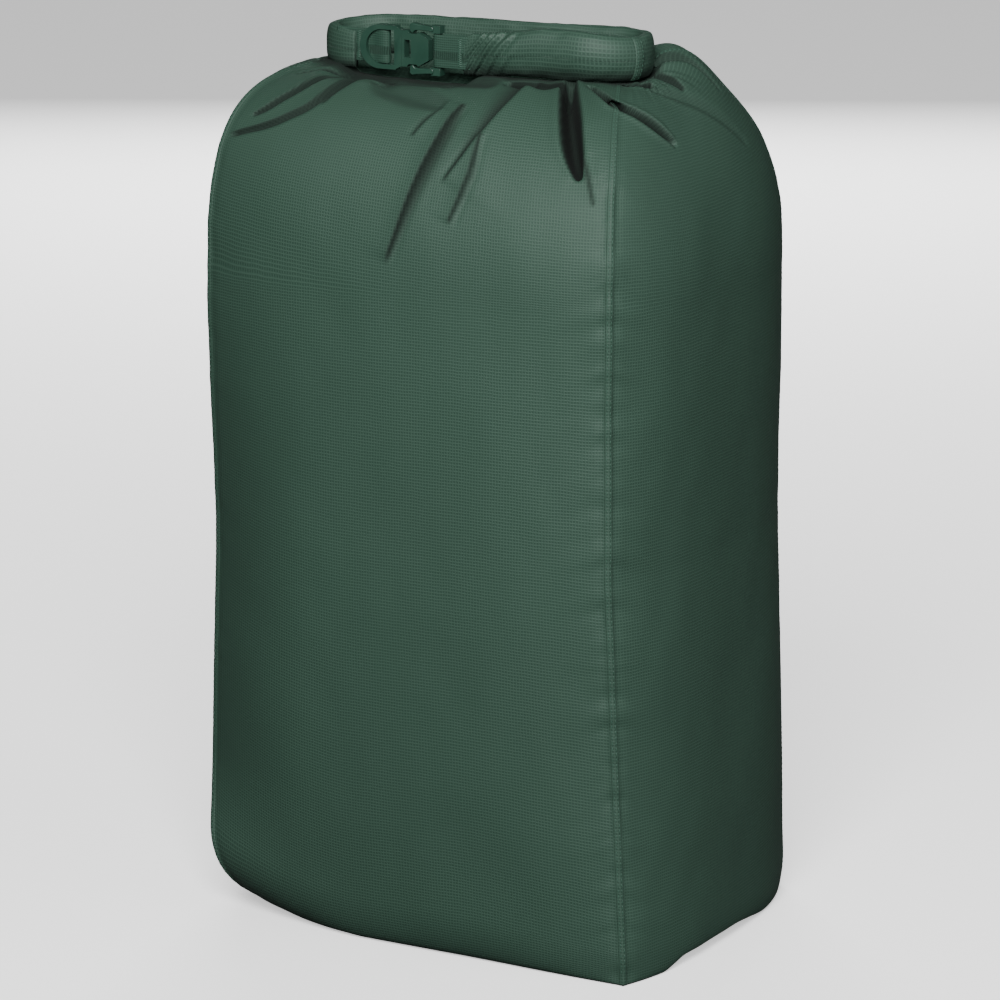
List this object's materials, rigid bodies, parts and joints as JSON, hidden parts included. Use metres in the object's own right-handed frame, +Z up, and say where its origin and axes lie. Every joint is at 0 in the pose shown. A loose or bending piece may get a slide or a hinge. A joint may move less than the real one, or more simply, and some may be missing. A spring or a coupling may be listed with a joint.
{
  "type": "stuff sack",
  "caption": "Tall roll-top stuff sack standing full: rectangular base, swollen fabric panels with corner seams, rolled collar clipped into a carry ring.",
  "frame": {"origin": "middle of the underside, on the plane the sack stands on", "axes": "+Z up, the buckle side faces -Y, the right side panel faces +X"},
  "size_m": [0.3266, 0.258, 0.557],
  "materials": {
    "fabric": "satin",
    "tape": "satin",
    "stiffener": "matte",
    "webbing": "matte",
    "thread": "matte",
    "buckle": "satin"
  },
  "bodies": {
    "sack": {"front_panel": "fabric", "right_panel": "fabric", "back_panel": "fabric", "left_panel": "fabric", "base_panel": "fabric", "seam_front_left": "fabric", "seam_front_right": "fabric", "seam_back_right": "fabric", "seam_back_left": "fabric", "tape_front_left": "tape", "tape_front_right": "tape", "tape_back_right": "tape", "tape_back_left": "tape", "base_seam_tape": "tape", "collar_gather": "fabric", "roll_outer_wrap": "fabric", "roll_inner_wrap": "fabric", "hem_band": "fabric", "stiffener_outer": "stiffener", "stiffener_inner": "stiffener", "roll_seam_strip": "fabric", "webbing_male": "webbing", "webbing_female": "webbing", "bar_tack_male": "thread", "bar_tack_female": "thread", "buckle_female": "buckle"},
    "male_half": {"buckle_male": "buckle"},
    "upper_arm": {"arm_upper": "buckle"},
    "lower_arm": {"arm_lower": "buckle"}
  },
  "joints": [
    {"name": "buckle_pull", "type": "slide", "parent": "sack", "child": "male_half", "axis": [1, 0, 0], "range_m": [0, 0.012]},
    {"name": "arm_upper_flex", "type": "hinge", "parent": "male_half", "child": "upper_arm", "pos_m": [-0.03, -0.0275, 0.5538], "axis": [0, 1, 0], "range_deg": [0, 8.4]},
    {"name": "arm_lower_flex", "type": "hinge", "parent": "male_half", "child": "lower_arm", "pos_m": [-0.03, -0.0275, 0.5282], "axis": [0, -1, 0], "range_deg": [0, 8.4]}
  ],
  "couplings": [
    {"joint": "arm_upper_flex", "follows": "buckle_pull", "rad_per_m": 12},
    {"joint": "arm_lower_flex", "follows": "buckle_pull", "rad_per_m": 12}
  ]
}
